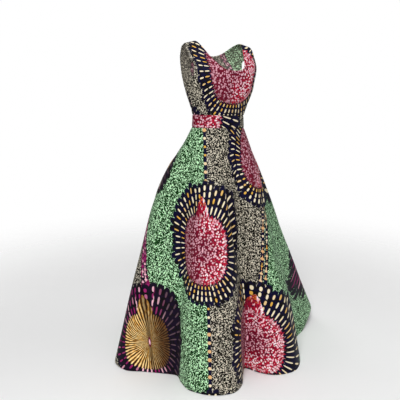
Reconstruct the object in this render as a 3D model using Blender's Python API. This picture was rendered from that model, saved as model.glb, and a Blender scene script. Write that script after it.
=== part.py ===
"""A worn, sleeveless maxi dress in printed cotton: fitted bodice, inset waistband and wide flared skirt.

Metres, +Z up. The front faces -Y and the wearer's left is +X. The origin lies midway between the
tops of the two straps, where the shoulders carry the dress, so the hem is one dress length below.
Every wall is a surface with a thickness: an angle runs round the body from the centre front (0)
over the wearer's left side (90) to the centre back (180), and a second value runs down.
"""

import math

import bmesh
import bpy
import numpy as np
from mathutils import Matrix, Vector

# Driving sizes
DRESS_LENGTH = 1.450
BODICE_LENGTH = 0.313
WAISTBAND_HEIGHT = 0.056
WALL = 0.002
SEAM_GAP = 0.0003

# Waist, as half the width and half the depth of the ring
WAIST_WIDTH = 0.1226
WAIST_DEPTH = 0.088
WAISTBAND_EASE = 0.0024
# The wearer leans a little: the waist seams rise to the front and to the wearer's right
WAIST_RISE = 0.008
WAIST_TILT = 0.011

# Straps and the openings between them
NECK_WIDTH = 0.111
SHOULDER_WIDTH = 0.159
FRONT_NECK_DROP = 0.1135
BACK_NECK_DROP = 0.062
NECK_SIDE_POWER = 3.4
NECK_BASE_POWER = 0.7
ARMHOLE_DROP = 0.172
ARMHOLE_CURVE = 0.8
ARMHOLE_CUT = 0.004
SHOULDER_SLOPE = math.radians(14)
SHOULDER_ROUND = 0.12
SHOULDER_BACK = 0.004
# The wearer's left strap lies lower and further forward than the right one
SHOULDER_TILT = 0.0135
SHOULDER_TWIST = 0.013

# Ease over the bust, on a general figure
BUST_FULLNESS = 0.014
BUST_HALF_SPACING = 0.078
BUST_DROP = 0.182
BUST_SPREAD = 0.050

# Bodice rings: drop below the shoulder line, half width, depth of the front, depth of the back
BODICE_RINGS = (
    # drop, width, front, back
    (0.000, 0.184, 0.062, 0.092),
    (0.060, 0.184, 0.093, 0.096),
    (0.115, 0.178, 0.126, 0.098),
    (0.170, 0.166, 0.127, 0.098),
    (0.200, 0.160, 0.126, 0.096),
    (0.243, 0.146, 0.113, 0.090),
    (0.283, 0.132, 0.100, 0.087),
    (BODICE_LENGTH, WAIST_WIDTH, WAIST_DEPTH, WAIST_DEPTH),
)

# Skirt sections: drop below the waist seam as a share of the skirt, flare from the waist to the
# plain hem as a share, how far the back stands out over the hips, and share of the hem's folds
SKIRT_SECTIONS = (
    # drop, flare, hip, fold
    (0.000, 0.000, 0.000, 0.000),
    (0.055, 0.079, 0.010, 0.035),
    (0.110, 0.164, 0.030, 0.105),
    (0.185, 0.272, 0.056, 0.210),
    (0.325, 0.417, 0.078, 0.385),
    (0.510, 0.576, 0.060, 0.560),
    (0.740, 0.810, 0.024, 0.690),
    (1.000, 1.000, 0.000, 1.000),
)

# Folds of the hem: angle round the body in degrees and distance from the body's axis, from crest
# to valley to crest, all the way round, with a row on each flank that is steep
HEM_FOLDS = (
    # angle, reach
    (-108.0, 0.492),
    (-98.0, 0.465),
    (-91.0, 0.400),
    (-82.0, 0.345),
    (-70.0, 0.310),
    (-61.0, 0.350),
    (-51.0, 0.400),
    (-36.0, 0.423),
    (-25.0, 0.410),
    (-17.0, 0.362),
    (-8.0, 0.270),
    (2.0, 0.220),
    (8.0, 0.300),
    (15.0, 0.362),
    (30.0, 0.409),
    (49.0, 0.396),
    (64.0, 0.380),
    (77.0, 0.430),
    (86.0, 0.530),
    (98.0, 0.662),
    (116.0, 0.530),
    (136.0, 0.455),
    (160.0, 0.560),
    (182.0, 0.420),
    (204.0, 0.540),
    (229.0, 0.405),
)
# Cloth that swings out further than this rises off the floor
LEVEL_REACH = 0.480
HEM_RISE = 0.36
PLAIN_HEM_SPAN = 110.0
# Distance of the hem from the axis where the seams run, for the width of a seam gap
SEAM_REACH = 0.45
TURN = 360.0

# Mesh density
SKIRT_COLUMNS = 54
SKIRT_ROWS = 16
BODICE_ROWS = 12
NECK_COLUMNS = 7
STRAP_COLUMNS = 3
ARMHOLE_COLUMNS = 6
WAISTBAND_COLUMNS = 28
WAISTBAND_ROWS = 2
NORMAL_STEP = 1e-3
SHARP_ANGLE = math.radians(40)

# Concealed zip at the centre back, at its closed end under the neck edge
SLIDER_BELOW_NECK = 0.010
SLIDER_SIZE = (0.0064, 0.0022, 0.0100)
SLIDER_BEVEL = 0.0006
LUG_THICK = 0.0010
LUG_HEIGHT = 0.0030
LUG_LENGTH = 0.0032
PIN_RADIUS = 0.0006
PIN_ABOVE_BODY = 0.0017
KNUCKLE_RADIUS = 0.00125
KNUCKLE_BORE = 0.0009
PULL_LENGTH = 0.020
PULL_WIDTH = 0.0052
PULL_NECK_WIDTH = 0.0026
PULL_THICK = 0.0010
RUNNING_GAP = 0.0004
ROUND_SIDES = 20

SKIRT_LENGTH = DRESS_LENGTH - BODICE_LENGTH - WAISTBAND_HEIGHT
WAISTBAND_TOP = -BODICE_LENGTH
SKIRT_TOP = WAISTBAND_TOP - WAISTBAND_HEIGHT


def smooth_curve(places, values, at):
    """Cubic curve through rows in rising order that never swings past a row's value."""
    rises = [(v1 - v0) / (p1 - p0) for p0, p1, v0, v1 in zip(places, places[1:], values, values[1:])]
    slopes = [rises[0]]
    for before, after in zip(rises, rises[1:]):
        slopes.append(2 * before * after / (before + after) if before * after > 0 else 0.0)
    slopes.append(rises[-1])
    if at <= places[0]:
        return values[0] + slopes[0] * (at - places[0])
    if at >= places[-1]:
        return values[-1] + slopes[-1] * (at - places[-1])
    i = max(k for k in range(len(places) - 1) if places[k] <= at)
    span = places[i + 1] - places[i]
    f = (at - places[i]) / span
    start = (1 + 2 * f) * (1 - f) ** 2 * values[i] + f * (1 - f) ** 2 * span * slopes[i]
    end = f * f * (3 - 2 * f) * values[i + 1] + f * f * (f - 1) * span * slopes[i + 1]
    return start + end


def smooth_column(rows, column, at):
    """One column of a table whose first column rises, read between its rows."""
    return smooth_curve([row[0] for row in rows], [row[column] for row in rows], at)


def hem_reach(angle):
    """Distance of the hem from the body's axis, read between the rows of HEM_FOLDS."""
    rows = [(HEM_FOLDS[-1][0] - TURN, HEM_FOLDS[-1][1]), *HEM_FOLDS]
    rows += [(place + TURN, reach) for place, reach in HEM_FOLDS[:2]]
    turned = (angle - HEM_FOLDS[0][0]) % TURN + HEM_FOLDS[0][0]
    return smooth_column(rows, 1, turned)


HEM_SAMPLES = np.array([hem_reach(degree) for degree in range(int(TURN))])


def plain_hem_reach(angle):
    """The hem without its folds: a running average over a wide span, faded at both ends."""
    degrees = np.arange(int(TURN))
    away = np.abs((degrees - angle + TURN / 2) % TURN - TURN / 2)
    weights = np.clip(1 - away / PLAIN_HEM_SPAN, 0, 1)
    return float((HEM_SAMPLES * weights).sum() / weights.sum())


def lean(turn):
    """How far a waist seam lies above its level at an angle in radians."""
    return WAIST_RISE * math.cos(turn) - WAIST_TILT * math.sin(turn)


def skirt_point(angle, drop):
    """Outer face of the skirt: drop is 0 at the waist seam and 1 at the hem."""
    turn = math.radians(angle)
    across, forward = math.sin(turn), math.cos(turn)
    flare = smooth_column(SKIRT_SECTIONS, 1, drop)
    hip = smooth_column(SKIRT_SECTIONS, 2, drop)
    plain = plain_hem_reach(angle)
    fold = (hem_reach(angle) - plain) * smooth_column(SKIRT_SECTIONS, 3, drop)
    width = WAIST_WIDTH + WAISTBAND_EASE
    depth = WAIST_DEPTH + WAISTBAND_EASE
    x = across * (width + (plain - width) * flare + fold)
    y = -forward * (depth + (plain - depth) * flare + fold) + hip * (1 - forward) / 2
    rise = HEM_RISE * max(0, plain + fold - LEVEL_REACH) * drop
    rise += lean(turn) * max(0, 1 - drop) ** 3
    return Vector((x, y, SKIRT_TOP - drop * SKIRT_LENGTH + rise))


def waistband_point(angle, drop):
    """Outer face of the waistband: drop is 0 at its top seam and 1 at its lower one."""
    turn = math.radians(angle)
    x = math.sin(turn) * (WAIST_WIDTH + WAISTBAND_EASE * drop)
    y = -math.cos(turn) * (WAIST_DEPTH + WAISTBAND_EASE * drop)
    return Vector((x, y, WAISTBAND_TOP - drop * WAISTBAND_HEIGHT + lean(turn)))


def roll_of_drop(drop):
    """The value that runs down the bodice: 0 on the shoulder ridge, 1 where its rounding ends."""
    if drop < SHOULDER_ROUND:
        return math.acos(1 - drop / SHOULDER_ROUND) / (math.pi / 2)
    return 1 + (drop - SHOULDER_ROUND) / (SHOULDER_ROUND * math.pi / 2)


def drop_of_roll(roll):
    if abs(roll) < 1:
        return SHOULDER_ROUND * (1 - math.cos(roll * math.pi / 2))
    return SHOULDER_ROUND * (1 + (roll - 1) * math.pi / 2)


def bodice_point(angle, roll):
    """Outer face of the bodice: rings that close over the shoulders in a rounded ridge."""
    turn = math.radians(angle)
    drop = drop_of_roll(roll)
    across, forward = math.sin(turn), math.cos(turn)
    depth = smooth_column(BODICE_RINGS, 2 if forward > 0 else 3, drop)
    closing = math.sin(roll * math.pi / 2) if roll < 1 else 1
    x = across * smooth_column(BODICE_RINGS, 1, drop)
    share = max(0, 1 - drop / BODICE_LENGTH)
    ease = share * share * (3 - 2 * share)
    y = SHOULDER_BACK * ease - forward * depth * closing
    if forward > 0:
        side = (abs(x) - BUST_HALF_SPACING) / BUST_SPREAD
        height = (drop - BUST_DROP) / BUST_SPREAD
        y -= BUST_FULLNESS * forward * math.exp(-side * side - height * height)
    fade = max(0, 1 - drop / SHOULDER_ROUND) ** 2
    slope = math.tan(SHOULDER_SLOPE) * max(0, abs(x) - NECK_WIDTH) * fade
    sideways = x / SHOULDER_WIDTH * ease
    rise = lean(turn) * (1 - ease)
    return Vector((x, y - SHOULDER_TWIST * sideways, rise - drop - slope - SHOULDER_TILT * sideways))


def outward(surface, angle, down):
    """Unit normal of a surface, pointing away from the body."""
    turn_step = math.degrees(NORMAL_STEP)
    round_body = surface(angle + turn_step, down) - surface(angle - turn_step, down)
    up_body = surface(angle, down - NORMAL_STEP) - surface(angle, down + NORMAL_STEP)
    return round_body.cross(up_body).normalized()


def neck_edge(share, drop):
    """Angle and roll on the neckline: share is 0 at the centre and 1 at the strap."""
    turn = share * math.pi / 2
    x = NECK_WIDTH * math.sin(turn) ** (2 / NECK_SIDE_POWER)
    down = drop * max(math.cos(turn), 0) ** (2 / NECK_BASE_POWER)
    ring = smooth_column(BODICE_RINGS, 1, down)
    return math.degrees(math.asin(x / ring)), roll_of_drop(down)


def strap_edge(share):
    """Angle and roll along the shoulder seam, from the neck to the armhole."""
    x = NECK_WIDTH + (SHOULDER_WIDTH - NECK_WIDTH) * share
    return math.degrees(math.asin(x / BODICE_RINGS[0][1])), 0.0


def armhole_edge(share):
    """Angle and roll down the armhole, from the shoulder to the side seam."""
    turn = share * math.pi / 2
    drop = ARMHOLE_DROP * math.sin(turn)
    underarm = smooth_column(BODICE_RINGS, 1, ARMHOLE_DROP)
    outward_share = 1 - max(math.cos(turn), 0) ** ARMHOLE_CURVE
    x = SHOULDER_WIDTH + (underarm - SHOULDER_WIDTH) * outward_share - ARMHOLE_CUT * math.sin(2 * turn)
    ring = smooth_column(BODICE_RINGS, 1, drop)
    return math.degrees(math.asin(min(x / ring, 1))), roll_of_drop(drop)


def bodice_top(column, drop):
    """Angle and roll of the top edge for one column, counted from the centre to the side seam."""
    if column <= NECK_COLUMNS:
        return neck_edge(column / NECK_COLUMNS, drop)
    column -= NECK_COLUMNS
    if column <= STRAP_COLUMNS:
        return strap_edge(column / STRAP_COLUMNS)
    return armhole_edge((column - STRAP_COLUMNS) / ARMHOLE_COLUMNS)


HALF_COLUMNS = NECK_COLUMNS + STRAP_COLUMNS + ARMHOLE_COLUMNS
WAIST_ROLL = roll_of_drop(BODICE_LENGTH)


def wall(name, columns, rows, surface, place, colour):
    """A cloth panel: a flat grid extruded once and laid on a surface, with WALL between its faces.

    place takes a column and a row counted from the top edge and gives the angle and the second
    value of the surface there.
    """
    panel = bmesh.new()
    bmesh.ops.create_grid(panel, x_segments=columns, y_segments=rows, size=0.5)
    made = bmesh.ops.extrude_face_region(panel, geom=panel.faces[:], use_keep_orig=True)
    inner = {part for part in made["geom"] if isinstance(part, bmesh.types.BMVert)}
    for vert in panel.verts:
        column = round((vert.co.x + 0.5) * columns)
        row = round((0.5 - vert.co.y) * rows)
        angle, down = place(column, row)
        depth = WALL if vert in inner else 0.0
        vert.co = surface(angle, down) - outward(surface, angle, down) * depth
    bmesh.ops.recalc_face_normals(panel, faces=panel.faces[:])
    return finish(name, panel, colour)


def finish(name, form, colour, roughness=0.8, metallic=0.0):
    """Turns a bmesh into a named object of the dress with its own material."""
    mesh = bpy.data.meshes.new(name)
    form.to_mesh(mesh)
    form.free()
    mesh.shade_smooth()
    mesh.set_sharp_from_angle(angle=SHARP_ANGLE)
    piece = bpy.data.objects.new(name, mesh)
    material = bpy.data.materials.new(name)
    material.use_nodes = True
    shader = material.node_tree.nodes["Principled BSDF"]
    shader.inputs["Base Color"].default_value = (*colour, 1.0)
    shader.inputs["Roughness"].default_value = roughness
    shader.inputs["Metallic"].default_value = metallic
    mesh.materials.append(material)
    bpy.data.collections["batik_maxi_dress"].objects.link(piece)
    return piece


def degrees_of(length, radius):
    return math.degrees(length / radius)


def bodice_panel(name, start, end, drop, colour):
    """Bodice cloth between two angles that lie on seams, on the front or on the back."""
    front = abs(start + end) < 90
    middle = 0 if front else math.copysign(180, start + end)
    columns = round(abs(end - start) / 90 * HALF_COLUMNS)
    edge = SEAM_GAP / 2

    def place(column, row):
        along = start + (end - start) * column / columns
        side = math.copysign(1, along - middle)
        from_middle = abs(along - middle) / 90 * HALF_COLUMNS
        top_angle, top_roll = bodice_top(min(round(from_middle), HALF_COLUMNS), drop)
        top_roll = max(top_roll, roll_of_drop(0.0) + edge / (SHOULDER_ROUND * math.pi / 2))
        share = row / BODICE_ROWS
        low_roll = WAIST_ROLL - edge / (SHOULDER_ROUND * math.pi / 2)
        angle = middle + side * (top_angle + (abs(along - middle) - top_angle) * share)
        roll = top_roll + (low_roll - top_roll) * share
        inset = degrees_of(edge, smooth_column(BODICE_RINGS, 1, drop_of_roll(roll)))
        if column == 0:
            angle = start + inset
        if column == columns:
            angle = end - inset
        return angle, roll

    return wall(name, columns, BODICE_ROWS, bodice_point, place, colour)


def ring_panel(name, start, end, columns, rows, surface, height, radius_of, last_gap, colour):
    """Cloth of the waistband or the skirt between two seams."""
    edge = SEAM_GAP / 2

    def place(column, row):
        top, bottom = edge / height, 1 - last_gap / height
        down = top + (bottom - top) * row / rows
        inset = degrees_of(edge, radius_of(down))
        return start + inset + (end - start - 2 * inset) * column / columns, down

    return wall(name, columns, rows, surface, place, colour)


def skirt_radius(down):
    """Distance from the axis to the skirt where its seams run."""
    return WAIST_DEPTH + (SEAM_REACH - WAIST_DEPTH) * down


def skirt_panel(name, start, end, colour):
    columns = round(SKIRT_COLUMNS * (end - start) / 180)
    return ring_panel(
        name, start, end, columns, SKIRT_ROWS, skirt_point, SKIRT_LENGTH, skirt_radius, 0.0, colour
    )


def waistband_panel(name, start, end, colour):
    columns = round(WAISTBAND_COLUMNS * (end - start) / 180)
    return ring_panel(
        name,
        start,
        end,
        columns,
        WAISTBAND_ROWS,
        waistband_point,
        WAISTBAND_HEIGHT,
        lambda down: WAIST_DEPTH,
        SEAM_GAP / 2,
        colour,
    )


def zip_frame():
    """Place of the slider: its origin on the cloth, X across, Y away from the cloth, Z up along it."""
    roll = roll_of_drop(BACK_NECK_DROP + SLIDER_BELOW_NECK)
    across = Vector((1, 0, 0))
    away = outward(bodice_point, 180, roll)
    away = (away - across * away.x).normalized()
    axes = Matrix((across, away, across.cross(away))).transposed().to_4x4()
    spot = bodice_point(180, roll)
    return Matrix.Translation((0, spot.y, spot.z)) @ axes


def box(form, centre, size):
    made = bmesh.ops.create_cube(form, size=1.0)["verts"]
    bmesh.ops.scale(form, verts=made, vec=Vector(size))
    bmesh.ops.translate(form, verts=made, vec=Vector(centre))
    return made


def cross_cylinder(form, radius, length, centre):
    """A cylinder whose axis runs across the zip."""
    turned = Matrix.Translation(Vector(centre)) @ Matrix.Rotation(math.pi / 2, 4, "Y")
    bmesh.ops.create_cone(
        form,
        cap_ends=True,
        segments=ROUND_SIDES,
        radius1=radius,
        radius2=radius,
        depth=length,
        matrix=turned,
    )


def helper(name, form):
    """A shape that only takes part in a Boolean."""
    mesh = bpy.data.meshes.new(name)
    form.to_mesh(mesh)
    form.free()
    cutter = bpy.data.objects.new(name, mesh)
    cutter.hide_render = True
    cutter.display_type = "WIRE"
    bpy.data.collections["cutters"].objects.link(cutter)
    return cutter


def combine(piece, other, operation):
    step = piece.modifiers.new(other.name, "BOOLEAN")
    step.operation = operation
    step.solver = "EXACT"
    step.object = other


def zip_slider(pin_height):
    """Slider body with two lugs that carry the cross pin of the pull."""
    form = bmesh.new()
    half_body = SLIDER_SIZE[1] / 2
    box(form, (0, SEAM_GAP + half_body, 0), SLIDER_SIZE)
    bmesh.ops.bevel(
        form,
        geom=form.edges[:],
        offset=SLIDER_BEVEL,
        segments=2,
        profile=0.5,
        affect="EDGES",
        material=-1,
    )
    slider = finish("zip_slider", form, (0.18, 0.13, 0.12), 0.35, 0.9)
    lug_x = SLIDER_SIZE[0] / 2 - LUG_THICK / 2
    for side, name in ((-1, "lug_right"), (1, "lug_left")):
        lug = bmesh.new()
        base = SEAM_GAP + SLIDER_SIZE[1] - SLIDER_BEVEL
        tall = LUG_HEIGHT + SLIDER_BEVEL
        box(lug, (side * lug_x, base + tall / 2, 0), (LUG_THICK, tall, LUG_LENGTH))
        combine(slider, helper(name, lug), "UNION")
    pin = bmesh.new()
    cross_cylinder(pin, PIN_RADIUS, 2 * lug_x, (0, pin_height, 0))
    combine(slider, helper("pin", pin), "UNION")
    return slider


def zip_pull(pin_height):
    """Pull tab: a knuckle round the pin and a tapered plate that hangs from it."""
    inside = SLIDER_SIZE[0] - 2 * LUG_THICK - 2 * RUNNING_GAP
    form = bmesh.new()
    cross_cylinder(form, KNUCKLE_RADIUS, inside, (0, 0, 0))
    pull = finish("zip_pull", form, (0.20, 0.15, 0.13), 0.3, 0.9)
    pull.location = (0, pin_height, 0)
    plate = bmesh.new()
    corners = box(plate, (0, 0, -PULL_LENGTH / 2), (PULL_WIDTH, PULL_THICK, PULL_LENGTH))
    for vert in corners:
        if vert.co.z > -PULL_LENGTH / 2:
            vert.co.x *= PULL_NECK_WIDTH / PULL_WIDTH
    upright = [edge for edge in plate.edges if abs(edge.verts[0].co.y - edge.verts[1].co.y) > 1e-6]
    bmesh.ops.bevel(
        plate,
        geom=upright,
        offset=PULL_NECK_WIDTH / 3,
        segments=4,
        profile=0.5,
        affect="EDGES",
        material=-1,
    )
    added = helper("pull_plate", plate)
    bore = bmesh.new()
    cross_cylinder(bore, KNUCKLE_BORE, 2 * PULL_WIDTH, (0, 0, 0))
    bored = helper("pull_bore", bore)
    for shape in (added, bored):
        shape.parent = pull
    combine(pull, added, "UNION")
    combine(pull, bored, "DIFFERENCE")
    return pull


def new_collection(name, hidden=False):
    group = bpy.data.collections.new(name)
    group.hide_render = hidden
    bpy.context.scene.collection.children.link(group)


def main():
    for thing in list(bpy.data.objects):
        bpy.data.objects.remove(thing, do_unlink=True)
    new_collection("batik_maxi_dress")
    new_collection("cutters", hidden=True)

    rose, wine = (0.45, 0.05, 0.12), (0.20, 0.03, 0.08)
    khaki, green = (0.24, 0.22, 0.17), (0.08, 0.33, 0.14)
    bodice_panel("bodice_front", -90, 90, FRONT_NECK_DROP, rose)
    bodice_panel("bodice_back_left", 90, 180, BACK_NECK_DROP, khaki)
    bodice_panel("bodice_back_right", -180, -90, BACK_NECK_DROP, khaki)
    waistband_panel("waistband_front", -90, 90, wine)
    waistband_panel("waistband_back_left", 90, 180, wine)
    waistband_panel("waistband_back_right", -180, -90, wine)
    skirt_panel("skirt_front", -90, 90, green)
    skirt_panel("skirt_back_left", 90, 180, khaki)
    skirt_panel("skirt_back_right", -180, -90, khaki)

    closed_end = bpy.data.objects.new("zip_closed_end", None)
    closed_end.matrix_world = zip_frame()
    bpy.data.collections["cutters"].objects.link(closed_end)
    pin_height = SEAM_GAP + SLIDER_SIZE[1] + PIN_ABOVE_BODY
    slider = zip_slider(pin_height)
    pull = zip_pull(pin_height)
    lugs = [bpy.data.objects[name] for name in ("lug_right", "lug_left", "pin")]
    for piece in (slider, pull, *lugs):
        piece.parent = closed_end


if __name__ == "__main__":
    main()
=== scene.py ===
"""Looks of a sleeveless maxi dress in wax-printed cotton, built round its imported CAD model.

Metres, +Z up, front towards -Y, the wearer's left towards +X. The cloth panels are thin shells on
the same surfaces as the CAD walls: an angle runs round the body from the centre front (0) over the
wearer's left side (90) to the centre back (180), and a second value runs down. Each panel carries
a UV map in metres of flat cloth, and the print is worked out from it.
"""

import math

import bmesh
import bpy
import numpy as np
from bpy.props import FloatProperty, FloatVectorProperty, IntProperty, PointerProperty
from bpy.types import Operator, Panel, PropertyGroup
from mathutils import Euler, Matrix, Vector


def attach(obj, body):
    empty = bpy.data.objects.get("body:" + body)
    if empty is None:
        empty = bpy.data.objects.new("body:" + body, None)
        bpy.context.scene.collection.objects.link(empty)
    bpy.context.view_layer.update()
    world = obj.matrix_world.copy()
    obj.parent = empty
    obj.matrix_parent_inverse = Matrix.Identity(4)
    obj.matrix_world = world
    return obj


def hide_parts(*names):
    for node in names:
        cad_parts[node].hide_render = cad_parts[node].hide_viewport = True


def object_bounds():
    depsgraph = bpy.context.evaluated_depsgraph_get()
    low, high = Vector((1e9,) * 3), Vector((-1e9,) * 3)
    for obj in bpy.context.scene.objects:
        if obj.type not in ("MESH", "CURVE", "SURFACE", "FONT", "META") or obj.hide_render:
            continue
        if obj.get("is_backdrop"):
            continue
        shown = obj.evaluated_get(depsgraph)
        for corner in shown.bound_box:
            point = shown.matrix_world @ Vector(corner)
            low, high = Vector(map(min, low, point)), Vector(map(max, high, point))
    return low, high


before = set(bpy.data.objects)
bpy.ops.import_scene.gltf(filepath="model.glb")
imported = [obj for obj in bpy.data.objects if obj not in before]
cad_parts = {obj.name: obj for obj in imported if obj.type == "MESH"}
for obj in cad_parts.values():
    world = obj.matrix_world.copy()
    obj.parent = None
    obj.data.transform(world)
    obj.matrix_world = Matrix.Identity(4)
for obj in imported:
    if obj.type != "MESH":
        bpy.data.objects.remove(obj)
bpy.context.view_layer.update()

bl_info = {
    "name": "Batik maxi dress",
    "version": (1, 0, 0),
    "blender": (4, 5, 0),
    "location": "View3D > Sidebar > Dress",
    "description": "Sews, prints and lights a worn maxi dress on its packed model",
    "category": "Object",
}

UV_NAME = "cloth"
MM = 0.001

# Sizes of the cut, the same as the CAD model's
DRESS_LENGTH = 1.450
BODICE_LENGTH = 0.313
WAISTBAND_HEIGHT = 0.056
SEAM_GAP = 0.0003
WAIST_WIDTH = 0.1226
WAIST_DEPTH = 0.088
WAISTBAND_EASE = 0.0024
WAIST_RISE = 0.008
WAIST_TILT = 0.011
NECK_WIDTH = 0.111
SHOULDER_WIDTH = 0.159
FRONT_NECK_DROP = 0.1135
BACK_NECK_DROP = 0.062
NECK_SIDE_POWER = 3.4
NECK_BASE_POWER = 0.7
ARMHOLE_DROP = 0.172
ARMHOLE_CURVE = 0.8
ARMHOLE_CUT = 0.004
SHOULDER_SLOPE = math.radians(14)
SHOULDER_ROUND = 0.12
SHOULDER_BACK = 0.004
SHOULDER_TILT = 0.0135
SHOULDER_TWIST = 0.013
BUST_FULLNESS = 0.014
BUST_HALF_SPACING = 0.078
BUST_DROP = 0.182
BUST_SPREAD = 0.050
SKIRT_LENGTH = DRESS_LENGTH - BODICE_LENGTH - WAISTBAND_HEIGHT
WAISTBAND_TOP = -BODICE_LENGTH
SKIRT_TOP = WAISTBAND_TOP - WAISTBAND_HEIGHT
BODICE_RINGS = np.array(
    (
        # drop, width, front, back
        (0.000, 0.184, 0.062, 0.092),
        (0.060, 0.184, 0.093, 0.096),
        (0.115, 0.178, 0.126, 0.098),
        (0.170, 0.166, 0.127, 0.098),
        (0.200, 0.160, 0.126, 0.096),
        (0.243, 0.146, 0.113, 0.090),
        (0.283, 0.132, 0.100, 0.087),
        (BODICE_LENGTH, WAIST_WIDTH, WAIST_DEPTH, WAIST_DEPTH),
    )
)
SKIRT_SECTIONS = np.array(
    (
        # drop, flare, hip, fold
        (0.000, 0.000, 0.000, 0.000),
        (0.055, 0.079, 0.010, 0.035),
        (0.110, 0.164, 0.030, 0.105),
        (0.185, 0.272, 0.056, 0.210),
        (0.325, 0.417, 0.078, 0.385),
        (0.510, 0.576, 0.060, 0.560),
        (0.740, 0.810, 0.024, 0.690),
        (1.000, 1.000, 0.000, 1.000),
    )
)
HEM_FOLDS = np.array(
    (
        # angle, reach
        (-108.0, 0.492),
        (-98.0, 0.465),
        (-91.0, 0.400),
        (-82.0, 0.345),
        (-70.0, 0.310),
        (-61.0, 0.350),
        (-51.0, 0.400),
        (-36.0, 0.423),
        (-25.0, 0.410),
        (-17.0, 0.362),
        (-8.0, 0.270),
        (2.0, 0.220),
        (8.0, 0.300),
        (15.0, 0.362),
        (30.0, 0.409),
        (49.0, 0.396),
        (64.0, 0.380),
        (77.0, 0.430),
        (86.0, 0.530),
        (98.0, 0.662),
        (116.0, 0.530),
        (136.0, 0.455),
        (160.0, 0.560),
        (182.0, 0.420),
        (204.0, 0.540),
        (229.0, 0.405),
    )
)
LEVEL_REACH = 0.480
HEM_RISE = 0.36
PLAIN_HEM_SPAN = 110.0
SEAM_REACH = 0.45
TURN = 360.0
NORMAL_STEP = 1e-3

# Columns of half the bodice that follow the neckline, the strap and the armhole
NECK_COLUMNS = 35
STRAP_COLUMNS = 15
ARMHOLE_COLUMNS = 30
HALF_COLUMNS = NECK_COLUMNS + STRAP_COLUMNS + ARMHOLE_COLUMNS
BODICE_ROWS = 64
WAISTBAND_COLUMNS = 90
WAISTBAND_ROWS = 14
SKIRT_COLUMNS = 216
SKIRT_ROWS = 120
# Shares of a panel taken by the narrow columns and rows beside its edges, how far those turn in
# as shares of the seam roll, and the bodice's narrow columns, in columns
EDGE_SHARES = (0.0, 0.002, 0.005)
BAND_EDGE_SHARES = (0.0, 0.03, 0.08)
EDGE_ROLL = (1.0, 0.45, 0.1)
NARROW_COLUMNS = np.array((0, 0.25, 1))
# The waistband is pulled in along its seams: by how much, and over what share of its height
BAND_SEAM_SINK = 0.0020
BAND_SEAM_SHARE = 0.035

# Smaller folds and creases than the CAD's: where each starts and ends, half its width and how far
# it stands out, or in where that is negative
SKIRT_CREASES = (
    # angle, drop, end angle, end drop, half width, height
    (-24.0, 0.08, -3.0, 0.56, 0.024, -0.0150),
    (-4.0, 0.10, 24.0, 0.62, 0.030, 0.0050),
    (-52.0, 0.04, -62.0, 0.42, 0.024, -0.0045),
    (-38.0, 0.20, -33.0, 0.80, 0.034, 0.0045),
    (-70.0, 0.03, -84.0, 0.34, 0.022, -0.0040),
    (-92.0, 0.02, -104.0, 0.50, 0.030, 0.0050),
    (20.0, 0.03, 44.0, 0.46, 0.026, -0.0060),
    (52.0, 0.02, 66.0, 0.38, 0.024, -0.0050),
    (34.0, 0.50, 40.0, 0.96, 0.022, -0.0050),
    (-27.0, 0.62, -20.0, 0.98, 0.022, -0.0035),
    (-47.0, 0.66, -52.0, 0.99, 0.020, 0.0035),
    (84.0, 0.04, 96.0, 0.50, 0.030, 0.0060),
    (112.0, 0.03, 124.0, 0.56, 0.026, -0.0060),
    (128.0, 0.10, 146.0, 0.70, 0.030, -0.0050),
    (150.0, 0.02, 158.0, 0.50, 0.028, 0.0055),
    (172.0, 0.05, 178.0, 0.60, 0.024, -0.0050),
    (-124.0, 0.03, -132.0, 0.52, 0.026, -0.0055),
    (-146.0, 0.02, -156.0, 0.48, 0.028, 0.0055),
    (-168.0, 0.04, -172.0, 0.60, 0.026, -0.0045),
    (-112.0, 0.30, -118.0, 0.90, 0.030, 0.0040),
)
BODICE_CREASES = (
    # angle, drop, end angle, end drop, half width, height
    (-74.0, 0.195, -40.0, 0.235, 0.007, -0.0022),
    (-82.0, 0.240, -46.0, 0.262, 0.007, -0.0020),
    (-86.0, 0.284, -58.0, 0.276, 0.006, -0.0018),
    (-12.0, 0.236, -30.0, 0.300, 0.008, -0.0018),
    (10.0, 0.240, 26.0, 0.302, 0.008, -0.0018),
    (76.0, 0.190, 44.0, 0.232, 0.007, -0.0022),
    (84.0, 0.246, 50.0, 0.266, 0.007, -0.0018),
    (88.0, 0.290, 60.0, 0.280, 0.006, -0.0016),
    (0.0, 0.125, 0.0, 0.215, 0.016, -0.0040),
    (104.0, 0.190, 140.0, 0.238, 0.009, -0.0022),
    (112.0, 0.250, 152.0, 0.272, 0.008, -0.0020),
    (100.0, 0.292, 136.0, 0.284, 0.007, -0.0018),
    (-102.0, 0.196, -138.0, 0.230, 0.009, -0.0022),
    (-114.0, 0.246, -150.0, 0.276, 0.008, -0.0020),
    (-98.0, 0.290, -134.0, 0.286, 0.007, -0.0018),
)
WAISTBAND_CREASES = (
    # angle, drop, end angle, end drop, half width, height
    (-84.0, 0.62, -48.0, 0.40, 0.004, -0.0009),
    (-40.0, 0.30, -8.0, 0.46, 0.005, -0.0007),
    (20.0, 0.66, 58.0, 0.50, 0.004, -0.0008),
    (92.0, 0.40, 128.0, 0.58, 0.005, -0.0008),
    (-96.0, 0.36, -140.0, 0.60, 0.005, -0.0008),
)
SKIRT_CREASE_RADIUS = 0.35
BODY_CREASE_RADIUS = 0.15
# Creases fade out beside the seams, and keep a share of their height at the hem
SKIRT_FADE = 0.05
HEM_FADE = 0.02
HEM_KEEPS = 0.35
BODICE_FADE = 0.012
BAND_FADE = 0.1

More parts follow.
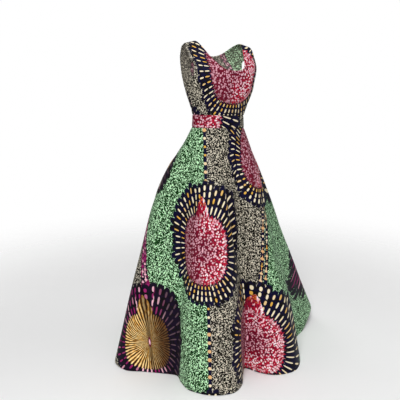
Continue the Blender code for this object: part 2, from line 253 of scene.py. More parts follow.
# How the cloth of the skirt was turned on the print: the print's angle for an angle on the body.
# Between two seams it hardly moves on over the wearer's left hip. The turn comes in between two
# drops below the waist.
PRINT_TURNS = np.array(
    (
        # angle, print angle
        (-180.0, -172.0),
        (-120.0, -113.0),
        (-92.0, -89.0),
        (-60.0, -60.0),
        (36.0, 36.0),
        (48.0, 40.5),
        (84.0, 42.5),
        (90.0, 44.5),
        (98.0, 47.0),
        (120.0, 64.0),
        (180.0, 124.0),
    )
)
PRINT_TURN_DROPS = (0.05, 0.35)
# The print hangs a little lower on the left of the front, and over that hip the cloth was cut
# from further up it
SIDE_FALL = 0.031
SIDE_FALL_ANGLES = (0.0, 24.0)
HIP_RISE = 0.20
HIP_RISE_ANGLES = (48.0, 84.0)
HIP_RISE_DROPS = (0.25, 0.60)
# The skirt's print lies flat as part of a ring, straight at the angle of the grain, about a point
# this far above the waist seam
GRAIN_ANGLE = -28.0
PRINT_APEX = 1.0
# Place of each piece on the cloth: across from a column of medallions, and down from a row of them
SKIRT_PRINT = (0.057, -0.493)
BODICE_PRINT = (0.282, 0.295)
BACK_RIGHT_PRINT = (0.992, 0.271)
WAISTBAND_PRINT = (0.132, 0.051)
# Print taken up sideways by the shaping of the bodice: at the wearer's right side, and at the
# left strap
SIDE_TAKE = 0.030
SIDE_TAKE_ANGLES = (-45.0, -75.0)
STRAP_TAKE = 0.042
STRAP_TAKE_ANGLES = (15.0, 50.0)
STRAP_TAKE_DROPS = (0.18, 0.07)

# Turned and pressed edges inside the cloth: their widths and thickness, how far they lie under the
# panel and under each other, and the radius that they bend with
SEAM_ALLOWANCE = 0.010
HEM_TURNING = 0.018
EDGE_TURNING = 0.008
TRIM_THICKNESS = 0.0004
TRIM_CLEAR = 0.0002
TURNING_UNDER_SEAM = 0.0006
CURVE_UNDER_TRIM = 0.06
# The row or column this far in tells on which side of an edge its panel lies
ROWS_IN = 4
# Stitches along the turned edges, each as long as this share of the way to the next
STITCH_FROM_FOLD = 0.003
STITCH_FILL = 0.8
THREAD_THICKNESS = 0.0007
# The zip behind the centre-back seam, from a little under the neck edge: its tapes, how deep it
# lies, and its coil
ZIP_LENGTH = 0.40
ZIP_STOP_UNDER_NECK = 0.1
ZIP_TAPE_WIDTH = 0.012
ZIP_TAPES_HALF_GAP = 0.0006
ZIP_DEPTH = 0.0028
COIL_PITCH = 0.0016
COIL_WIDTH = 0.0034
COIL_WIRE = 0.0010

# Irregular specks and stains: size, seed, and the levels of the noise between which one begins
PALE_SPECKS = (0.0052, 0.0, 0.570, 0.585)
DARK_SPECKS = (0.0052, 0.0, 0.490, 0.475)
PALEST_SPECKS = (0.012, 5.0, 0.47, 0.55)
WINE_STAINS = (0.007, 11.0, 0.455, 0.435)
RUST_STAINS = (0.020, 37.0, 0.40, 0.60)
BAR_STAINS = (0.016, 31.0, 0.50, 0.60)
CORD_STAINS = (0.014, 29.0, 0.50, 0.56)
STROKE_GAPS = (0.012, 23.0, 0.50, 0.54)
CRACKLE_DISTORTION = 0.8
# Dots of the red cores: how far apart, how wide as a share of that, and how soft
CORE_SPECK = 0.0092
CORE_SPECK_SIZE = 0.43
DOT_SOFTNESS = 0.12
# Ovals of a medallion in metres of cloth: half width, half height and squareness
CORE_OVAL = (0.112, 0.149, 2.6)
RING_OVAL = (0.205, 0.271, 2.3)
TIP_OVAL = (0.030, 0.082, 1.35)
SEED_OVAL = (0.0036, 0.0160, 2.0)
CORE_DOWN = 0.024
CORE_ASIDE = -0.018
CORE_SOFTNESS = 0.02
TIP_UP = 0.122
TIP_BLEND = 0.25
# Shares of its size by which the bars bite into the core and notch the ragged ring
CORE_TOOTH = 1.40
CORE_SHRINK = 0.03
RING_BITE = 1.15
RING_LEAST = 0.93
RING_RAGGED = 0.08
RING_SOFTNESS = 0.012
# Dashes: how many lie along a bar at the sides, and how many more above and below, where they are
# also wider, how short each is in its place, and where the last one ends
DASHES_ASIDE = 1.9
MORE_DASHES = 1.0
MORE_DASHES_ABOVE = 0.7
DASH_HALF_WIDTH = 0.0031
DASH_WIDER = 0.0008
DASH_SHORT = 2.3
DASH_SHORT_SPREAD = 0.9
DASHES_END = 1.07
# Streaks at the rim of the red cores: how many round a radian and along the radius
RIM_STREAKS = (17.0, 4.0, 0)
# The gold medallions are narrower, with smaller cores of fine uneven ribs, and fewer bars
GOLD_NARROWER = 1.35
GOLD_SHORTER = 1.06
GOLD_CORE_SMALLER = 1.13
GOLD_RAYS = 40
GOLD_RIBS = 58
RIB_STANDS_OUT = 0.045
RIB_UNEVENNESS = (14.0, 5.0, 0)
RIB_WOBBLE = 3.0
# Beads on a cord along each column of medallions, closer and on a wider cord along the gold ones
BEAD_PERIOD = 0.036
BEAD_WIDTH = 0.0077
BEAD_HEIGHT = 0.0072
BEAD_LEAST_SIZE = 0.68
BEAD_SIZE_SPREAD = 0.45
BEAD_SOFTNESS = 0.08
CORD_HALF_WIDTH = 0.0068
CORD_SOFTNESS = 0.0006
STROKE_HALF_WIDTHS = (0.0022, 0.0012)
PAIR_APART = 0.0085
PAIR_SMALLER = 0.20
GOLD_PAIR_CLOSER = 0.003
GOLD_CORD_WIDER = 0.002
GOLD_MORE_BEADS = 0.6
# Lesser colours of the print, and colours of painted shade on the gold medallions
BERRY = "7E0C4C"
# Painted shade: the greyish pink that the pink dashes turn on the right side of a gold medallion's ring
SHADED_DASH_PINK = "5C4650"
INK = "0A0508"
PALE_PINK = "FFF0F2"
DUSKY_PINK = "CE90A0"
FLAME = "D8702A"
# Painted shade: the brown that a gold core turns on its right side
SHADED_CORE_BROWN = "432A10"
RUST = "8A5624"
STRAW = "FFE4A4"
# Painted shade: the dimmed pale ribs on a gold core's right side
SHADED_RIB_UMBER = "5E4428"
FADED = "D9D2C4"
# Plain weave of about 24 threads a centimetre, drawn three times as coarse so that it shows
WEAVE_PITCH = 3 * 0.42 * MM


def linear(code):
    """sRGB hex digits as linear red, green and blue."""
    levels = [int(code[i : i + 2], 16) / 255 for i in (0, 2, 4)]
    return [v / 12.92 if v <= 0.04045 else ((v + 0.055) / 1.055) ** 2.4 for v in levels]


def colour_property(name, description, code):
    return FloatVectorProperty(
        name=name, description=description, subtype="COLOR", size=3, min=0, max=1, default=linear(code)
    )


def length_property(name, description, default):
    return FloatProperty(name=name, description=description, default=default, unit="LENGTH")


class DressClothSettings(PropertyGroup):
    thickness: length_property("Cloth thickness", "Thickness of the cotton", 0.0010)
    seam_roll: length_property("Seam roll", "How far cloth turns in beside a seam", 0.0008)
    crease_strength: FloatProperty(name="Crease strength", description="Share of their height", default=1.0)
    stitch_length: length_property("Stitch length", "From one stitch to the next", 0.0030)


class DressPrintSettings(PropertyGroup):
    column_spacing: length_property("Column spacing", "From one column of medallions to the next", 0.300)
    repeat_height: length_property("Repeat height", "From one medallion to the next in a column", 0.880)
    rays: IntProperty(name="Rays", description="Bars in the ring of a red medallion", default=48)
    crimson: colour_property("Crimson", "Ground of the red medallions", "BC0A30")
    wine: colour_property("Wine", "Middle of the red medallions", "600A24")
    rose: colour_property("Rose", "Specks of the red medallions", "F6BCCC")
    navy: colour_property("Navy", "Bars of the rings", "04022A")
    purple: colour_property("Purple", "Bars round the gold medallions", "12041E")
    magenta: colour_property("Magenta", "Dashes round the gold medallions", "9A2068")
    cream: colour_property("Cream", "Pale dashes and beads", "F2E4C2")
    yellow: colour_property("Yellow", "Warm dashes and beads", "E2AE48")
    peach: colour_property("Peach", "Rosy beads", "E0B078")
    gold: colour_property("Gold", "Ground of the gold medallions", "F2B252")
    brown: colour_property("Brown", "Lines of the gold medallions", "2E1808")
    green: colour_property("Green", "Ground of the green stripes", "145418")
    mint: colour_property("Mint", "Pale crackle of the green stripes", "CEFBCB")
    pine: colour_property("Pine", "Dark crackle of the green stripes", "082A0A")
    khaki: colour_property("Khaki", "Ground of the khaki stripes", "34312A")
    chalk: colour_property("Chalk", "Pale crackle of the khaki stripes", "D6CEBA")
    soot: colour_property("Soot", "Dark crackle of the khaki stripes", "0A0806")


class DressStageSettings(PropertyGroup):
    key_power: FloatProperty(name="Key light", description="Power of the large soft light", default=128.0)
    top_power: FloatProperty(name="Top light", description="Power of the light above", default=80.0)
    fill_power: FloatProperty(name="Fill light", description="Power of the opposite light", default=24.0)
    room_light: FloatProperty(name="Room light", description="Strength of the white room", default=0.16)
    floor: colour_property("Floor", "Colour of the studio floor", "F4F4F4")


# Shapes


def smooth_curve(places, values, at):
    """Cubic curve through rows in rising order that never swings past a row's value."""
    at = np.asarray(at, float)
    rises = np.diff(values) / np.diff(places)
    product = rises[:-1] * rises[1:]
    total = np.where(product > 0, rises[:-1] + rises[1:], 1)
    middle = np.where(product > 0, 2 * product / total, 0)
    slopes = np.concatenate((rises[:1], middle, rises[-1:]))
    i = np.clip(np.searchsorted(places, at, side="right") - 1, 0, len(places) - 2)
    span = places[i + 1] - places[i]
    f = np.clip((at - places[i]) / span, 0, 1)
    start = (1 + 2 * f) * (1 - f) ** 2 * values[i] + f * (1 - f) ** 2 * span * slopes[i]
    end = f * f * (3 - 2 * f) * values[i + 1] + f * f * (f - 1) * span * slopes[i + 1]
    before = np.minimum(at - places[0], 0) * slopes[0]
    after = np.maximum(at - places[-1], 0) * slopes[-1]
    return start + end + before + after


def smooth_column(rows, column, at):
    return smooth_curve(rows[:, 0], rows[:, column], at)


def hem_reach(angle):
    """Distance of the hem from the body's axis, read between the rows of HEM_FOLDS."""
    rows = np.vstack((HEM_FOLDS[-1:] - (TURN, 0), HEM_FOLDS, HEM_FOLDS[:2] + (TURN, 0)))
    turned = (np.asarray(angle, float) - HEM_FOLDS[0][0]) % TURN + HEM_FOLDS[0][0]
    return smooth_column(rows, 1, turned)


def half_turn(angle):
    """The same angle, between -180 and 180 degrees."""
    return (np.asarray(angle, float) + TURN / 2) % TURN - TURN / 2


def plain_hem_samples():
    """The hem without its folds at each half degree from the back round to the back again."""
    degrees = np.arange(int(TURN))
    places = np.arange(-TURN / 2, TURN / 2 + 0.5, 0.5)
    away = np.abs(half_turn(degrees[None, :] - places[:, None]))
    weights = np.clip(1 - away / PLAIN_HEM_SPAN, 0, 1)
    return places, (weights * hem_reach(degrees)).sum(axis=1) / weights.sum(axis=1)


PLAIN_PLACES, PLAIN_REACH = plain_hem_samples()


def plain_hem_reach(angle):
    return np.interp(half_turn(angle), PLAIN_PLACES, PLAIN_REACH)


def lean(turn):
    """How far a waist seam lies above its level at an angle in radians."""
    return WAIST_RISE * np.cos(turn) - WAIST_TILT * np.sin(turn)


def skirt_point(angle, drop, folds=1.0):
    """Outer face of the skirt: drop is 0 at the waist seam and 1 at the hem."""
    turn = np.radians(angle)
    across, forward = np.sin(turn), np.cos(turn)
    flare = smooth_column(SKIRT_SECTIONS, 1, drop)
    hip = smooth_column(SKIRT_SECTIONS, 2, drop)
    plain = plain_hem_reach(angle)
    fold = folds * (hem_reach(angle) - plain) * smooth_column(SKIRT_SECTIONS, 3, drop)
    width = WAIST_WIDTH + WAISTBAND_EASE
    depth = WAIST_DEPTH + WAISTBAND_EASE
    x = across * (width + (plain - width) * flare + fold)
    y = -forward * (depth + (plain - depth) * flare + fold) + hip * (1 - forward) / 2
    rise = HEM_RISE * np.maximum(0, plain + fold - LEVEL_REACH) * drop
    rise = rise + lean(turn) * np.maximum(0, 1 - drop) ** 3
    return np.stack((x, y, SKIRT_TOP - drop * SKIRT_LENGTH + rise), axis=-1)


def waistband_point(angle, drop):
    """Outer face of the waistband: drop is 0 at its top seam and 1 at its lower one."""
    turn = np.radians(angle)
    x = np.sin(turn) * (WAIST_WIDTH + WAISTBAND_EASE * drop)
    y = -np.cos(turn) * (WAIST_DEPTH + WAISTBAND_EASE * drop)
    return np.stack((x, y, WAISTBAND_TOP - drop * WAISTBAND_HEIGHT + lean(turn)), axis=-1)


ROLL_ARC = SHOULDER_ROUND * math.pi / 2


def roll_of_drop(drop):
    """The value that runs down the bodice: 0 on the shoulder ridge, 1 where its rounding ends."""
    drop = np.asarray(drop, float)
    rounded = np.arccos(1 - np.minimum(drop, SHOULDER_ROUND) / SHOULDER_ROUND) / (math.pi / 2)
    return np.where(drop < SHOULDER_ROUND, rounded, 1 + (drop - SHOULDER_ROUND) / ROLL_ARC)


def drop_of_roll(roll):
    roll = np.asarray(roll, float)
    rounded = SHOULDER_ROUND * (1 - np.cos(roll * math.pi / 2))
    return np.where(np.abs(roll) < 1, rounded, SHOULDER_ROUND + (roll - 1) * ROLL_ARC)


def bodice_point(angle, roll):
    """Outer face of the bodice: rings that close over the shoulders in a rounded ridge."""
    turn = np.radians(angle)
    roll = np.asarray(roll, float)
    drop = drop_of_roll(roll)
    across, forward = np.sin(turn), np.cos(turn)
    front = smooth_column(BODICE_RINGS, 2, drop)
    back = smooth_column(BODICE_RINGS, 3, drop)
    closing = np.where(roll < 1, np.sin(roll * math.pi / 2), 1)
    x = across * smooth_column(BODICE_RINGS, 1, drop)
    share = np.maximum(0, 1 - drop / BODICE_LENGTH)
    ease = share * share * (3 - 2 * share)
    y = SHOULDER_BACK * ease - forward * np.where(forward > 0, front, back) * closing
    side = (np.abs(x) - BUST_HALF_SPACING) / BUST_SPREAD
    height = (drop - BUST_DROP) / BUST_SPREAD
    y = y - BUST_FULLNESS * np.maximum(forward, 0) * np.exp(-side * side - height * height)
    fade = np.maximum(0, 1 - drop / SHOULDER_ROUND) ** 2
    slope = math.tan(SHOULDER_SLOPE) * np.maximum(0, np.abs(x) - NECK_WIDTH) * fade
    sideways = x / SHOULDER_WIDTH * ease
    rise = lean(turn) * (1 - ease)
    y = y - SHOULDER_TWIST * sideways
    return np.stack((x, y, rise - drop - slope - SHOULDER_TILT * sideways), axis=-1)


def outward(surface, angle, down):
    """Unit normals of a surface, pointing away from the body."""
    step = math.degrees(NORMAL_STEP)
    round_body = surface(angle + step, down) - surface(angle - step, down)
    up_body = surface(angle, down - NORMAL_STEP) - surface(angle, down + NORMAL_STEP)
    normal = np.cross(round_body, up_body)
    return normal / np.linalg.norm(normal, axis=-1, keepdims=True)


def crease_heights(creases, angle, down, radius, length):
    """Sum of soft ridges and troughs, each along a line and fading out at both ends."""
    spot = np.stack((np.radians(angle) * radius, down * length), axis=-1)
    total = np.zeros(spot.shape[:-1])
    for angle_0, down_0, angle_1, down_1, half_width, height in creases:
        start = np.array((math.radians(angle_0) * radius, down_0 * length))
        along = np.array((math.radians(angle_1) * radius, down_1 * length)) - start
        share = np.clip((spot - start) @ along / (along @ along), 0, 1)
        away = np.linalg.norm(spot - start - share[..., None] * along, axis=-1)
        total += height * np.sin(math.pi * share) ** 0.7 * np.exp(-((away / half_width) ** 2))
    return bpy.context.scene.dress_cloth.crease_strength * total


def skirt_relief(angle, drop):
    fade = np.clip(drop / SKIRT_FADE, 0, 1) * np.clip((1 - drop) / HEM_FADE, HEM_KEEPS, 1)
    return fade * crease_heights(SKIRT_CREASES, half_turn(angle), drop, SKIRT_CREASE_RADIUS, SKIRT_LENGTH)


def bodice_relief(angle, roll):
    drop = drop_of_roll(roll)
    fade = np.clip((BODICE_LENGTH - drop) / BODICE_FADE, 0, 1)
    return fade * crease_heights(BODICE_CREASES, angle, drop, BODY_CREASE_RADIUS, 1.0)


def waistband_relief(angle, drop):
    fade = np.clip(drop / BAND_FADE, 0, 1) * np.clip((1 - drop) / BAND_FADE, 0, 1)
    heights = crease_heights(WAISTBAND_CREASES, angle, drop, BODY_CREASE_RADIUS, WAISTBAND_HEIGHT)
    to_seam = np.minimum(drop, 1 - drop) / BAND_SEAM_SHARE
    return fade * heights - BAND_SEAM_SINK * np.exp(-to_seam * to_seam)


# Where each point of a piece lies on the flat printed cloth

MAP_ANGLES = np.linspace(-TURN / 2, TURN / 2, 721)
MAP_ROWS = 61


def run_lengths(spots):
    """Lengths along lines of spots that run down the first axis, from 0 at their starts."""
    steps = np.linalg.norm(np.diff(spots, axis=0), axis=-1)
    return np.concatenate((np.zeros_like(steps[:1]), np.cumsum(steps, axis=0)))


def arc_lengths(spots, zero):
    """Lengths round the body along rows of spots, from an angle that counts as zero."""
    lengths = run_lengths(spots.swapaxes(0, 1)).T
    middle = np.array([np.interp(zero, MAP_ANGLES, row) for row in lengths])
    return lengths - middle[:, None]


def lookup(down, table, angle, value):
    """Reads a table over MAP_ANGLES and values of down at given spots, linear both ways."""
    column = np.interp(angle, MAP_ANGLES, np.arange(len(MAP_ANGLES)))
    row = np.interp(value, down, np.arange(len(down)))
    c = np.clip(column.astype(int), 0, len(MAP_ANGLES) - 2)
    r = np.clip(row.astype(int), 0, len(down) - 2)
    fc, fr = column - c, row - r
    top = table[r, c] * (1 - fc) + table[r, c + 1] * fc
    low = table[r + 1, c] * (1 - fc) + table[r + 1, c + 1] * fc
    return top * (1 - fr) + low * fr


def ramp(value, ends):
    """Grows smoothly from 0 to 1 between two ends."""
    share = np.clip((np.asarray(value, float) - ends[0]) / (ends[1] - ends[0]), 0, 1)
    return share * share * (3 - 2 * share)


def skirt_print(angle, drop):
    """Print place on the skirt: its flare without folds, laid flat about the grain and eased."""
    down = np.linspace(0, 1, MAP_ROWS)
    turned = smooth_column(PRINT_TURNS, 1, angle)
    turned = angle + (turned - angle) * ramp(drop, PRINT_TURN_DROPS)
    spots = skirt_point(MAP_ANGLES[None, :], down[:, None] + 0 * MAP_ANGLES[None, :], folds=0.0)
    arc = lookup(down, arc_lengths(spots, GRAIN_ANGLE), turned, drop)
    radius = PRINT_APEX + lookup(down, run_lengths(spots), turned, drop)
    across = radius * np.sin(arc / radius)
    slant = radius * np.cos(arc / radius) - PRINT_APEX
    risen = ramp(angle, HIP_RISE_ANGLES) * ramp(drop, HIP_RISE_DROPS)
    slant = slant - HIP_RISE * risen - SIDE_FALL * ramp(angle, SIDE_FALL_ANGLES)
    return np.stack((across + SKIRT_PRINT[0], slant + SKIRT_PRINT[1]), axis=-1)


def body_print(surface, lowest, place, shaping=0.0):
    """Print place on the bodice or waistband: round the body and down from the top."""
    down = np.linspace(0, lowest, MAP_ROWS)
    arcs = arc_lengths(surface(MAP_ANGLES[None, :], down[:, None] + 0 * MAP_ANGLES[None, :]), 0.0)
    slants = run_lengths(surface(np.zeros(len(down)), down))

    def at(angle, value):
        across = lookup(down, arcs, angle, value)
        slant = np.interp(value, down, slants)
        strap = ramp(angle, STRAP_TAKE_ANGLES) * ramp(drop_of_roll(value), STRAP_TAKE_DROPS)
        taken = SIDE_TAKE * ramp(angle, SIDE_TAKE_ANGLES) + STRAP_TAKE * strap
        return np.stack((across + place[0] - shaping * taken, slant + place[1]), axis=-1)

    return at


# Cutting and sewing the panels


def shares(count, edges=EDGE_SHARES):
    """Places from 0 to 1 of a panel's columns or rows, with narrow ones beside both edges."""
    inside = np.linspace(edges[-1], 1 - edges[-1], count - 2 * len(edges) + 3)
    start = np.array(edges[:-1])
    return np.concatenate((start, inside, 1 - start[::-1]))


def edge_roll(count):
    """How far each column or row turns in beside an edge, from 1 at the edge to 0."""
    roll = np.zeros(count)
    roll[:3] = roll[-3:][::-1] = EDGE_ROLL
    return roll


def finished(name, form, materials):
    """Makes a form into a piece of the scene."""
    mesh = bpy.data.meshes.new(name)
    form.to_mesh(mesh)
    form.free()
    for material in materials:
        mesh.materials.append(material)
    piece = bpy.data.objects.new(name, mesh)
    bpy.context.scene.collection.objects.link(piece)
    return piece


def cut_sheet(name, spots, prints, materials, thickness):
    """A thin sheet of cloth laid on rows of spots, with its place on the print in a UV map."""
    rows, columns = spots.shape[0] - 1, spots.shape[1] - 1
    form = bmesh.new()
    layer = form.loops.layers.uv.new(UV_NAME)
    bmesh.ops.create_grid(form, x_segments=columns, y_segments=rows, size=0.5)
    place = {}
    for vert in form.verts:
        place[vert] = (round((0.5 - vert.co.y) * rows), round((vert.co.x + 0.5) * columns))
    for vert, at in place.items():
        vert.co = spots[at]
    for face in form.faces:
        for loop in face.loops:
            loop[layer].uv = prints[place[loop.vert]]
    piece = finished(name, form, materials)
    thicken(piece, thickness)
    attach(piece, "dress")
    return piece


def thicken(piece, thickness):
    """Gives a sheet its thickness on the side of the body, in its second material if it has one."""
    wall = piece.modifiers.new("cloth", "SOLIDIFY")
    wall.thickness = thickness
    wall.offset = -1
    wall.material_offset = min(1, len(piece.data.materials) - 1)
    graph = bpy.context.evaluated_depsgraph_get()
    sheet = bpy.data.meshes.new_from_object(
        piece.evaluated_get(graph), preserve_all_data_layers=True, depsgraph=graph
    )
    old = piece.data
    piece.modifiers.clear()
    piece.data = sheet
    sheet.name = old.name
    bpy.data.meshes.remove(old)
    sheet.shade_smooth()
    sheet.set_sharp_from_angle(angle=math.radians(50))


def panel_edge(surface, relief, angle, down, row, depth):
    """An edge of a panel at some depth under its face: its spots, and the ways out and into it."""
    inner = row + ROWS_IN if row >= 0 else row - ROWS_IN
    spots = surface(angle[row], down[row])
    out = outward(surface, angle[row], down[row])
    inwards = surface(angle[inner], down[inner]) - spots
    spots = spots + out * (relief(angle[row], down[row]) - depth)[:, None]
    along = np.gradient(spots, axis=0)
    along /= np.linalg.norm(along, axis=1, keepdims=True)
    into = np.cross(out, along)
    into *= np.sign((into * inwards).sum(axis=1, keepdims=True))
    return spots, out, into


def trim_strip(name, rows, prints, material):
    """A narrow strip of cloth through rows of spots."""
    piece = cut_sheet(name, np.stack(rows), prints, (material,), TRIM_THICKNESS)
    return piece


def turned_edge(name, edge, width, prints):
    """Cloth turned in along an edge, or a seam allowance pressed back on its panel."""
    spots, out, into = edge
    reaches = (TRIM_CLEAR, width / 2, width)
    rows = [spots + into * reach - out * (reach * reach / (2 * CURVE_UNDER_TRIM)) for reach in reaches]
    return trim_strip(name, rows, np.stack([prints] * len(rows)), printed_cotton_reverse())


def bead_row(name, line, out, pitch, size, material, across=False):
    """Small rounded beads in a row along a line: stitches lie along it, coil turns across it."""
    lengths = run_lengths(line)
    places = np.arange(pitch / 2, lengths[-1], pitch)
    middles, ups = (
        np.stack([np.interp(places, lengths, row) for row in rows.T], axis=-1) for rows in (line, out)
    )
    form = bmesh.new()
    for middle, up, ahead in zip(middles, ups, np.gradient(middles, axis=0)):
        way = Vector(ahead).normalized()
        side = Vector(up).cross(way).normalized()
        if across:
            way, side = side, -way
        turn = Matrix((way, side, way.cross(side))).transposed().to_4x4()
        half_sizes = Matrix.Diagonal((size[0] / 2, size[1] / 2, size[1] / 2, 1))
        matrix = Matrix.Translation(middle) @ turn @ half_sizes
        bmesh.ops.create_icosphere(form, subdivisions=1, radius=1.0, matrix=matrix)
    piece = finished(name, form, (material,))
    piece.data.shade_smooth()
    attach(piece, "dress")
    return piece


def panel_trims(name, surface, relief, angle, down, prints, finish):
    """Seam allowances at both sides of a panel, and its turned and stitched top edge or hem."""
    settings = bpy.context.scene.dress_cloth
    depth = settings.thickness + settings.seam_roll + TRIM_CLEAR
    trims = []
    for side, column in (("start", 0), ("end", -1)):
        edge = panel_edge(surface, relief, angle.T, down.T, column, depth)
        place = prints(angle[:, column], down[:, column])
        trims.append(turned_edge(f"{name}_seam_{side}", edge, SEAM_ALLOWANCE, place))
    if finish:
        row, width = (0, EDGE_TURNING) if finish == "top" else (-1, HEM_TURNING)
        edge = panel_edge(surface, relief, angle, down, row, depth + TURNING_UNDER_SEAM)
        place = prints(angle[row], down[row])
        trims.append(turned_edge(f"{name}_{finish}_turning", edge, width, place))
        spots, out, into = panel_edge(surface, relief, angle, down, row, 0.0)
        line = spots + into * (width - STITCH_FROM_FOLD)
        pitch = settings.stitch_length
        size = (pitch * STITCH_FILL, THREAD_THICKNESS)
        trims.append(bead_row(f"{name}_{finish}_stitches", line, out, pitch, size, sewing_thread()))
    return trims


def zip_trims():
    """The concealed zip behind the centre-back seam: two tapes and the coil between them."""
    top = float(roll_of_drop(BACK_NECK_DROP)) + ZIP_STOP_UNDER_NECK
    runs = (
        # surface, first and last value down, samples
        (bodice_point, top, WAIST_ROLL, 60),
        (waistband_point, 0.0, 1.0, 10),
        (skirt_point, 0.0, 0.25, 50),
    )
    spots, out = [], []
    for surface, first, last, samples in runs:
        seam = (np.full(samples, 180.0), np.linspace(first, last, samples))
        spots.extend(surface(*seam))
        out.extend(outward(surface, *seam))
    spots, out = np.array(spots), np.array(out)
    along_zip = run_lengths(spots) < ZIP_LENGTH
    spots, out = spots[along_zip], out[along_zip]
    line = spots - out * ZIP_DEPTH
    trims = []
    for name, side in (("zip_tape_left", 1), ("zip_tape_right", -1)):
        reaches = (ZIP_TAPES_HALF_GAP, ZIP_TAPE_WIDTH)
        rows = np.stack([line + np.array((side * reach, 0, 0)) for reach in reaches])
        trims.append(trim_strip(name, rows, rows[..., :2], zip_tape()))
    coil = line - out * COIL_WIRE
    size = (COIL_WIDTH, COIL_WIRE)
    trims.append(bead_row("zip_coil", coil, out, COIL_PITCH, size, zip_coil(), across=True))
    return trims


def cloth_panel(node, surface, relief, grid, prints, finish=None):
    """One panel of cloth between its seams, on the surface of its CAD wall."""
    settings = bpy.context.scene.dress_cloth
    angle, down = grid
    rows, columns = angle.shape
    turned_in = np.maximum(edge_roll(columns)[None, :], edge_roll(rows)[:, None])
    height = relief(angle, down) - settings.seam_roll * turned_in
    spots = surface(angle, down) + outward(surface, angle, down) * height[..., None]
    materials = (printed_cotton(), printed_cotton_reverse())
    piece = cut_sheet(node + "_cloth", spots, prints(angle, down), materials, settings.thickness)
    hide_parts(node)
    trims = panel_trims(node, surface, relief, angle, down, prints, finish)
    if node == "bodice_back_left":
        trims.extend(zip_trims())


def degrees_of(length, radius):
    return np.degrees(length / radius)


def neck_edge(share, drop):
    """Angle and roll on the neckline: share is 0 at the centre and 1 at the strap."""
    turn = share * math.pi / 2
    x = NECK_WIDTH * math.sin(turn) ** (2 / NECK_SIDE_POWER)
    down = drop * max(math.cos(turn), 0) ** (2 / NECK_BASE_POWER)
    ring = float(smooth_column(BODICE_RINGS, 1, down))
    return math.degrees(math.asin(x / ring)), float(roll_of_drop(down))


def strap_edge(share):
    """Angle and roll along the shoulder seam, from the neck to the armhole."""
    x = NECK_WIDTH + (SHOULDER_WIDTH - NECK_WIDTH) * share
    return math.degrees(math.asin(x / BODICE_RINGS[0][1])), 0.0


def armhole_edge(share):
    """Angle and roll down the armhole, from the shoulder to the side seam."""
    turn = share * math.pi / 2
    drop = ARMHOLE_DROP * math.sin(turn)
    underarm = float(smooth_column(BODICE_RINGS, 1, ARMHOLE_DROP))
    outward_share = 1 - max(math.cos(turn), 0) ** ARMHOLE_CURVE
    x = SHOULDER_WIDTH + (underarm - SHOULDER_WIDTH) * outward_share - ARMHOLE_CUT * math.sin(2 * turn)
    ring = float(smooth_column(BODICE_RINGS, 1, drop))
    return math.degrees(math.asin(min(x / ring, 1))), float(roll_of_drop(drop))


def bodice_top(column, drop):
    """Angle and roll of the top edge for a column counted from the centre to the side seam."""
    if column <= NECK_COLUMNS:
        return neck_edge(column / NECK_COLUMNS, drop)
    column -= NECK_COLUMNS
    if column <= STRAP_COLUMNS:
        return strap_edge(column / STRAP_COLUMNS)
    return armhole_edge(min((column - STRAP_COLUMNS) / ARMHOLE_COLUMNS, 1))


WAIST_ROLL = float(roll_of_drop(BODICE_LENGTH))


def bodice_grid(start, end, drop):
    """Angles and rolls of a bodice panel between two angles that lie on seams."""
    middle = 0 if abs(start + end) < 90 else math.copysign(180, start + end)
    columns = round(abs(end - start) / 90 * HALF_COLUMNS)
    edge = SEAM_GAP / 2 / ROLL_ARC
    places = np.concatenate((NARROW_COLUMNS, np.arange(2, columns - 1), columns - NARROW_COLUMNS[::-1]))
    down = shares(BODICE_ROWS)
    angle = np.zeros((len(down), len(places)))
    roll = np.zeros_like(angle)
    for i, column in enumerate(places):
        along = start + (end - start) * column / columns
        side = math.copysign(1, along - middle)
        from_middle = abs(along - middle) / 90 * HALF_COLUMNS
        top_angle, top_roll = bodice_top(min(from_middle, HALF_COLUMNS), drop)
        top_roll = max(top_roll, edge)
        angle[:, i] = middle + side * (top_angle + (abs(along - middle) - top_angle) * down)
        roll[:, i] = top_roll + (WAIST_ROLL - edge - top_roll) * down
    inset = degrees_of(SEAM_GAP / 2, smooth_column(BODICE_RINGS, 1, drop_of_roll(roll)))
    angle[:, 0] = start + inset[:, 0]
    angle[:, -1] = end - inset[:, -1]
    return angle, roll


def ring_grid(start, end, counts, height, radius_of, last_gap, edges=EDGE_SHARES):
    """Angles and shares down of a panel of the waistband or the skirt, in columns and rows."""
    columns, rows = counts
    top, bottom = SEAM_GAP / 2 / height, 1 - last_gap / height
    down = (top + (bottom - top) * shares(rows, edges))[:, None]
    inset = degrees_of(SEAM_GAP / 2, radius_of(down))
    angle = start + inset + (end - start - 2 * inset) * shares(columns)[None, :]
    return angle, down + 0 * angle


def skirt_radius(down):
    """Distance from the axis to the skirt where its seams run, for the width of a seam gap."""
    return WAIST_DEPTH + (SEAM_REACH - WAIST_DEPTH) * down


def waistband_radius(down):
    return WAIST_DEPTH + 0 * down


# Colours and finishes


